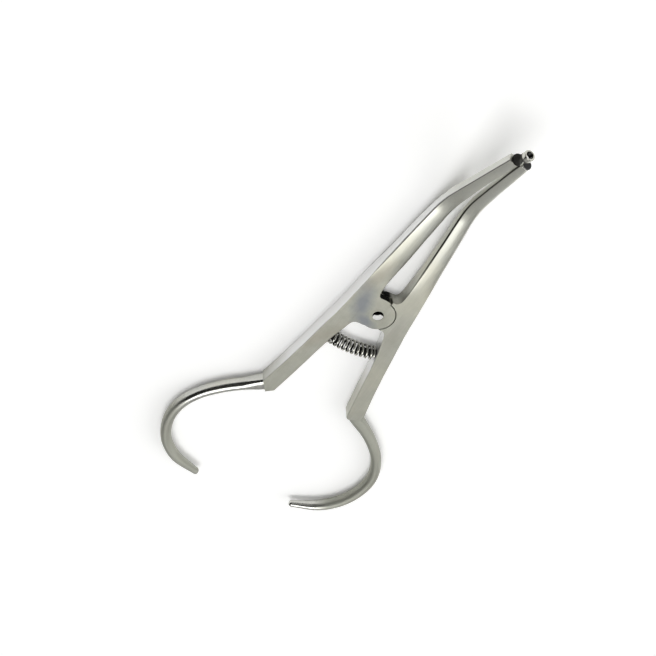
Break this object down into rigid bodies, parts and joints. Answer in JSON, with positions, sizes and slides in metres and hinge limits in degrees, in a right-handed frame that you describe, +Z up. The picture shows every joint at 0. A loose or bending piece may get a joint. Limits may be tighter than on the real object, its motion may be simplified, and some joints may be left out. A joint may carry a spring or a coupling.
{
  "type": "reverse-action crimping pliers",
  "caption": "Slim stainless hand pliers with open finger hooks, a coil return spring and bent jaws ending in a small eyelet and a rounded nub; squeezing the handles opens the jaws.",
  "frame": {"origin": "middle of the footprint, on the underside the pliers lie on; the pivot axis is at x = 0, y = +8.3 mm", "axes": "+Y from the finger hooks to the jaw tips, +Z up through the pivot, +X towards the right-hand arm"},
  "size_m": [0.073, 0.1533, 0.0189],
  "materials": {
    "left_arm_steel": "satin ground stainless",
    "right_arm_steel": "satin ground stainless",
    "left_hook_steel": "polished stainless",
    "right_hook_steel": "polished stainless",
    "rivet_steel": "satin stainless",
    "spring_wire_steel": "bright drawn spring wire",
    "left_stud_steel": "turned steel",
    "right_stud_steel": "turned steel",
    "eyelet_steel": "polished stainless",
    "nub_steel": "polished stainless"
  },
  "bodies": {
    "left_side": {"left_arm": "left_arm_steel", "left_finger_hook": "left_hook_steel", "left_jaw_eyelet": "eyelet_steel", "left_spring_stud": "left_stud_steel", "pivot_rivet": "rivet_steel", "return_spring": "spring_wire_steel"},
    "right_side": {"right_arm": "right_arm_steel", "right_finger_hook": "right_hook_steel", "right_jaw_nub": "nub_steel", "right_spring_stud": "right_stud_steel"}
  },
  "joints": [
    {"name": "pivot", "type": "hinge", "parent": "left_side", "child": "right_side", "pos_m": [0, 0.0083, 0], "axis": [0, 0, -1], "range_deg": [0, 18], "stiffness_Nm_per_rad": 0.5, "springref_deg": -5.73, "deforming": ["return_spring"]}
  ]
}
